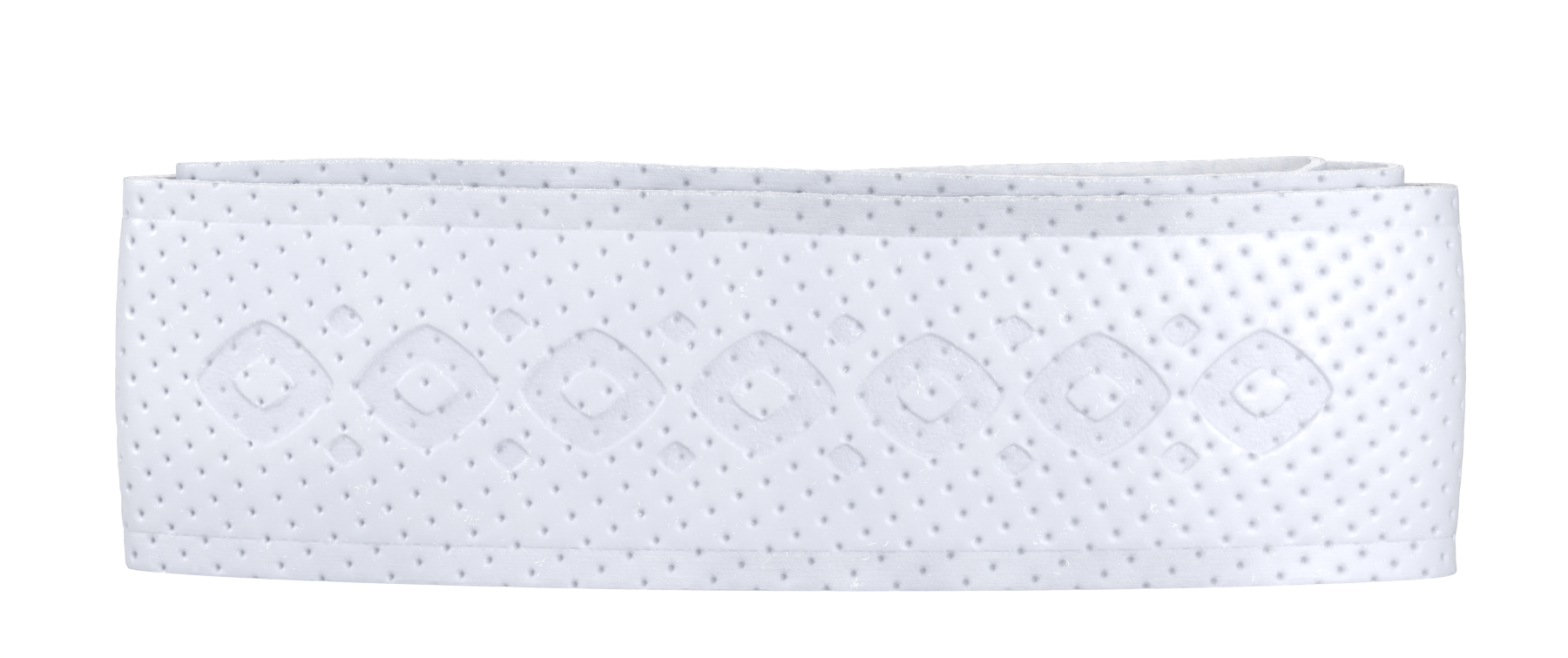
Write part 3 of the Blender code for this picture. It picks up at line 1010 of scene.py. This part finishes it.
lint = {  # every kind: number, length, widths as shares of halfWidth, curl, segments
    "tuft": {  # clumps of fibres, mostly beside pits
        "count": 200, "length": (0.08 * mm, 0.45 * mm), "widths": (0.5, 1.2), "curl": 3.0, "segments": 6,
        "fibres": (3, 12), "stray": 0.6 * mm, "reach": 0.34 * mm, "heights": (0.5 * mm, 29.3 * mm),
    },
    "thread": {
        "count": 620, "length": (0.20 * mm, 0.80 * mm), "widths": (0.5, 1.0), "curl": 2.5, "segments": 9,
        "heights": (0.8 * mm, 28.6 * mm),
    },
    "speck": {
        "count": 3000, "length": (0.05 * mm, 0.13 * mm), "widths": (0.6, 1.4), "curl": 0, "segments": 2,
        "heights": (0.6 * mm, 29 * mm),
    },
    "crumb": {  # along the pressed outlines
        "length": (0.05 * mm, 0.16 * mm), "widths": (0.5, 1.1), "curl": 0, "segments": 2,
        "grow": -0.06 * mm, "step": mm / 3, "stray": 0.07 * mm,
    },
    "fluff": {  # along the cut upper edge, half of it behind the skin
        "count": 8000, "length": (0.05 * mm, 0.13 * mm), "widths": (0.6, 1.3), "curl": 2.0, "segments": 2,
        "slant": 0.8, "depth": 0.45 * mm, "behind": (29.90 * mm, 30.05 * mm),
        "heights": (29.75 * mm, 30.0 * mm),
    },
    "halfWidth": 0.036 * mm,
    "profile": np.array([-0.3, 1.0, -0.3]) * (0.014 * mm),  # height of a fibre's three points across
    "turning": (0.4, 1.6),  # share of the curl that one segment gets
    "ends": 0.12,  # where along half a wave the width starts
    "clear": (4 * mm, 30 * mm),  # left free at the outer and at the inner end
    "pitHeights": (1 * mm, 29 * mm),
    "seed": 23,
}


def fibres(draw, kind, starts, depths=0.0):
    # flat fibres that lie in the skin, three points across: points, faces and places on the strip
    count, segments = len(starts), kind["segments"]
    widths = draw.uniform(*kind["widths"], count) * lint["halfWidth"]
    if "slant" in kind:
        slant = kind["slant"]
        heading = draw.choice([0, math.pi], count) + draw.uniform(-slant, slant, count)
    lengths = draw.uniform(*kind["length"], count)
    curls = draw.uniform(-kind["curl"], kind["curl"], count) if kind["curl"] else 0
    if "slant" not in kind:
        heading = draw.uniform(0, 2 * math.pi, count)
    place = starts
    rows, across = [], []
    for _ in range(segments + 1):
        rows.append(place)
        across.append(np.stack([-np.sin(heading), np.cos(heading)], 1))
        heading = heading + curls * draw.uniform(*lint["turning"], count) / segments
        place = place + (lengths / segments)[:, None] * np.stack([np.cos(heading), np.sin(heading)], 1)
    rows, across = np.stack(rows), np.stack(across)
    wave = lint["ends"] + (1 - 2 * lint["ends"]) * np.arange(segments + 1) / segments
    side = across * widths[:, None] * np.sin(math.pi * wave)[:, None, None]
    flat = np.stack([rows - side, rows, rows + side], 2)
    height = skinHeight(flat[..., 0].ravel(), flat[..., 1].ravel())[0].reshape(flat.shape[:-1])
    depths = np.broadcast_to(depths, count)[:, None]
    under = np.where(depths > 0, depths, -height) - lint["profile"]
    points = wound(flat[..., 0], flat[..., 1], under).transpose(1, 0, 2, 3).reshape(-1, 3)
    flat = flat.transpose(1, 0, 2, 3).reshape(-1, 2)
    faces = []
    for first in range(0, 3 * (segments + 1) * count, 3 * (segments + 1)):
        for k in range(first, first + 3 * segments, 3):
            faces += [[k, k + 1, k + 4, k + 3], [k + 1, k + 2, k + 5, k + 4]]
    return points, faces, flat


def lintPiece():
    draw = np.random.default_rng(lint["seed"])
    sFrom, sTo = baseToRoll + lint["clear"][0], secondToInner - lint["clear"][1]
    tuft, crumb, fluff = lint["tuft"], lint["crumb"], lint["fluff"]
    pitsThere = pitCentres(sFrom, sTo, *lint["pitHeights"])
    chosen = pitsThere[draw.choice(len(pitsThere), tuft["count"], replace=False)]
    sizes = draw.integers(*tuft["fibres"], tuft["count"])
    centres = np.repeat(chosen + draw.normal(0, tuft["stray"], chosen.shape), sizes, axis=0)
    starts = centres + draw.normal(0, tuft["reach"], centres.shape)
    starts[:, 1] = np.clip(starts[:, 1], *tuft["heights"])
    made = [fibres(draw, tuft, starts)]
    for kind in (lint["thread"], lint["speck"]):
        count = kind["count"]
        starts = np.stack([draw.uniform(sFrom, sTo, count), draw.uniform(*kind["heights"], count)], 1)
        made.append(fibres(draw, kind, starts))
    grow, step = crumb["grow"], crumb["step"]
    outline = np.concatenate([lozengeOutline(*entry[:4], grow, step) for entry in lozengeList])
    made.append(fibres(draw, crumb, outline + draw.normal(0, crumb["stray"], outline.shape)))
    count = fluff["count"]
    depths = np.where(np.arange(count) % 2, 0, draw.uniform(fluff["depth"], pitch, count))
    behind, before = draw.uniform(*fluff["behind"], count), draw.uniform(*fluff["heights"], count)
    starts = np.stack([draw.uniform(sFrom, sTo, count), np.where(depths > 0, behind, before)], 1)
    made.append(fibres(draw, fluff, starts, depths))
    points, faces, flat = [], [], []
    for morePoints, moreFaces, moreFlat in made:
        first = sum(len(p) for p in points)
        points.append(morePoints)
        flat.append(moreFlat)
        faces += [[first + v for v in face] for face in moreFaces]
    mesh = bpy.data.meshes.new("skin_lint")
    mesh.from_pydata(np.concatenate(points).tolist(), [], faces)
    tapeLayout(mesh, np.concatenate(flat))
    mesh.shade_smooth()
    mesh.materials.append(lintMaterial)
    piece = linkedObject("skin_lint", mesh)
    print("skin_lint", len(faces), "faces")
    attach(piece, "roll")


skinLayer()
print("skin made")
feltLayer()
bandLayers()
print("back layers made")
lintPiece()

view = {
    "elevation": math.radians(6.8),
    "distance": 700 * mm,
    "aim": (-0.51 * mm, -9.85 * mm, 19.9 * mm),
    "lean": math.radians(0.26),
    "frameWidth": 118.0 * mm,  # across the picture, at the front face
    "sensor": 36,
    "clip": (0.01, 10),
}


def aimedObject(name, data, place, towards, lean=0.0):
    made = linkedObject(name, data)
    made.location = place
    made.rotation_mode = "QUATERNION"
    made.rotation_quaternion = towards.to_track_quat("-Z", "Y") @ Quaternion((0, 0, 1), lean)
    return made


def placeCamera():
    camera = bpy.data.cameras.new("camera")
    camera.sensor_width = view["sensor"]
    camera.lens = view["sensor"] * view["distance"] / view["frameWidth"]
    camera.clip_start, camera.clip_end = view["clip"]
    back = Vector((0, -math.cos(view["elevation"]), math.sin(view["elevation"])))
    place = Vector(view["aim"]) + view["distance"] * back
    bpy.context.scene.camera = aimedObject("camera", camera, place, -back, view["lean"])


studio = {
    "world": 0.40,
    "lights": {  # place, width and height, power
        "highRight": ((0.29, -0.51, 0.42), (0.20, 0.20), 1.76),
        "lowRight": ((0.35, -0.51, 0.05), (0.16, 0.12), 1.15),
        "sideLeft": ((-0.60, -0.10, 0.24), (0.22, 0.20), 1.75),
        "backHigh": ((0.05, 0.55, 0.40), (0.35, 0.30), 0.90),
    },
    "aim": (0, 0, 0.015),
    "floorReach": 4.0,
    "floorGrey": 0.7,
    "floorRoughness": 0.9,
    "floorGlow": 1.10,
    "floorShadow": 0.12,  # share of the lit floor in what the camera sees of it
}


def areaLight(name, place, size, power):
    light = bpy.data.lights.new(name, "AREA")
    light.shape = "RECTANGLE"
    light.size, light.size_y = size
    light.energy = power
    aimedObject(name, light, place, Vector(studio["aim"]) - Vector(place))


def placeWorld():
    # white to the camera, soft light to everything else
    finish = Finish("studio", bpy.data.worlds, "Background")
    seen = finish.node("ShaderNodeLightPath", output="Is Camera Ray")
    finish.set(Color=(1, 1, 1, 1), Strength=seen * (1 - studio["world"]) + studio["world"])
    bpy.context.scene.world = finish.owner


def placeFloor():
    # near white to the camera, with some of the object's shadow left in
    finish = Finish("floorWhite")
    finish.set(Base_Color=(*[studio["floorGrey"]] * 3, 1), Roughness=studio["floorRoughness"])
    glow = finish.node("ShaderNodeEmission", {}, {"Strength": studio["floorGlow"]})
    share = finish.node("ShaderNodeLightPath", output="Is Camera Ray") * (1 - studio["floorShadow"])
    lit = Wire(finish, finish.shader.outputs[0])
    mixed = finish.node("ShaderNodeMixShader", {}, {0: share, 1: lit, 2: glow})
    finish.feed(finish.nodes["Material Output"].inputs["Surface"], mixed)
    mesh = bpy.data.meshes.new("floor")
    reach = studio["floorReach"]
    corners = [(x * reach, y * reach, 0) for x, y in ((-1, -1), (1, -1), (1, 1), (-1, 1))]
    mesh.from_pydata(corners, [], [(0, 1, 2, 3)])
    mesh.materials.append(finish.owner)
    linkedObject("floor", mesh)


placeCamera()
for lightName, lightSettings in studio["lights"].items():
    areaLight(lightName, *lightSettings)
placeWorld()
placeFloor()
bpy.context.scene.view_settings.view_transform = "Standard"
print("camera and studio set")
